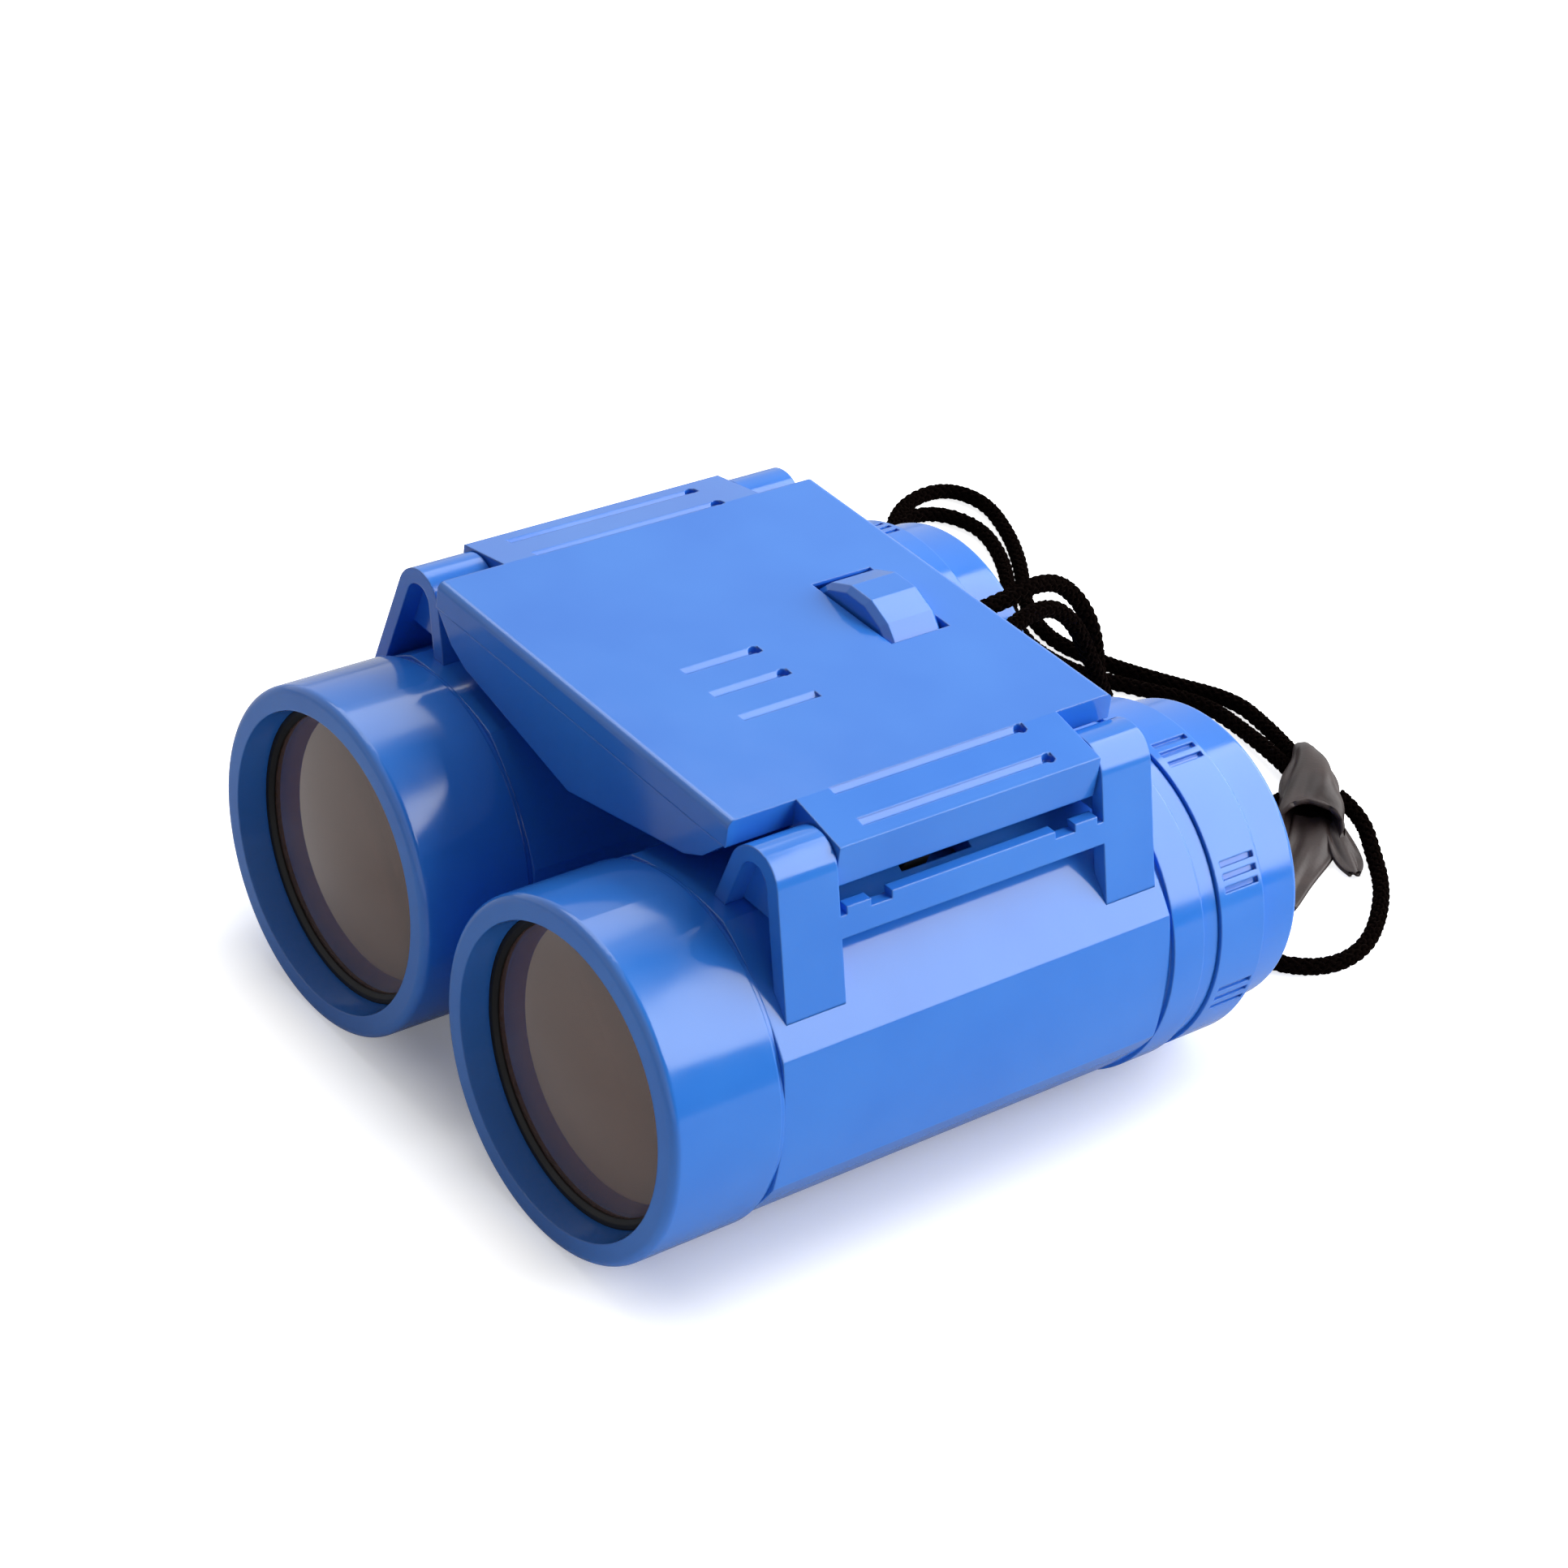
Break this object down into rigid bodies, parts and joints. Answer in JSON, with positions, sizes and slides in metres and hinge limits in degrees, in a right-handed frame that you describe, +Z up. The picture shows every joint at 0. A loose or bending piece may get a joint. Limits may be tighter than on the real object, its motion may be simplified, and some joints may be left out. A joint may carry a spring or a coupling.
{
  "type": "toy binoculars",
  "caption": "Small toy binoculars: two folding barrels on a central bridge, a focus wheel that slides both eyepieces, and a knotted neck cord.",
  "frame": {"origin": "on the floor, under the middle of the barrels' length and the plane of symmetry", "axes": "+Z up, +Y from the objectives to the eyepieces, +X to the left barrel as its user holds it; the part is symmetric about X = 0"},
  "size_m": [0.1464, 0.1674, 0.0598],
  "materials": {
    "blue_plastic": "glossy moulded ABS",
    "black_plastic": "matt moulded ABS",
    "white_plastic": "natural acetal",
    "lens": "smoke tinted clear acrylic",
    "pin_steel": "bright drawn wire",
    "screw_steel": "zinc plated",
    "cord": "braided nylon",
    "tab": "soft dark grey vinyl"
  },
  "bodies": {
    "bridge": {"top_cover": "blue_plastic", "lower_cover": "blue_plastic", "cover_screws": "screw_steel", "cord_bushes": "black_plastic", "cord_end_knots": "cord", "neck_cord_outer": "cord", "neck_cord_loop": "cord", "neck_cord_inner": "cord", "cord_knot": "cord", "cord_tab": "tab"},
    "left_barrel": {"left_objective_bell": "blue_plastic", "left_objective_lens": "lens", "left_lens_ring": "black_plastic", "left_barrel_body": "blue_plastic", "left_light_baffle": "black_plastic", "left_rear_collar": "blue_plastic", "left_hinge_bracket": "blue_plastic", "left_hinge_pin": "pin_steel"},
    "right_barrel": {"right_objective_bell": "blue_plastic", "right_objective_lens": "lens", "right_lens_ring": "black_plastic", "right_barrel_body": "blue_plastic", "right_light_baffle": "black_plastic", "right_rear_collar": "blue_plastic", "right_hinge_bracket": "blue_plastic", "right_hinge_pin": "pin_steel"},
    "left_eyepiece": {"left_eyepiece_tube": "blue_plastic", "left_focus_arm": "black_plastic", "left_grip_ring": "blue_plastic", "left_eyecup": "blue_plastic", "left_ocular_lens": "lens"},
    "right_eyepiece": {"right_eyepiece_tube": "blue_plastic", "right_focus_arm": "black_plastic", "right_grip_ring": "blue_plastic", "right_eyecup": "blue_plastic", "right_ocular_lens": "lens"},
    "focus_wheel": {"focus_wheel": "blue_plastic", "wheel_shaft": "screw_steel"},
    "focus_carriage": {"focus_carriage": "white_plastic"}
  },
  "joints": [
    {"name": "left_hinge", "type": "hinge", "parent": "bridge", "child": "left_barrel", "pos_m": [0.0346, 0, 0.0513], "axis": [0, 1, 0], "range_deg": [-22, 4]},
    {"name": "right_hinge", "type": "hinge", "parent": "bridge", "child": "right_barrel", "pos_m": [-0.0346, 0, 0.0513], "axis": [0, -1, 0], "range_deg": [-22, 4]},
    {"name": "carriage_slide", "type": "slide", "parent": "bridge", "child": "focus_carriage", "axis": [0, 1, 0], "range_m": [0, 0.006]},
    {"name": "focus_turn", "type": "hinge", "parent": "bridge", "child": "focus_wheel", "pos_m": [0, 0, 0.05], "axis": [0, 1, 0], "range_deg": [0, 540]},
    {"name": "left_eyepiece_slide", "type": "slide", "parent": "left_barrel", "child": "left_eyepiece", "axis": [0, 1, 0], "range_m": [0, 0.006]},
    {"name": "right_eyepiece_slide", "type": "slide", "parent": "right_barrel", "child": "right_eyepiece", "axis": [0, 1, 0], "range_m": [0, 0.006]}
  ],
  "couplings": [
    {"joint": "focus_turn", "follows": "carriage_slide", "rad_per_m": 1570.8},
    {"joint": "left_eyepiece_slide", "follows": "carriage_slide", "ratio": 1},
    {"joint": "right_eyepiece_slide", "follows": "carriage_slide", "ratio": 1}
  ]
}
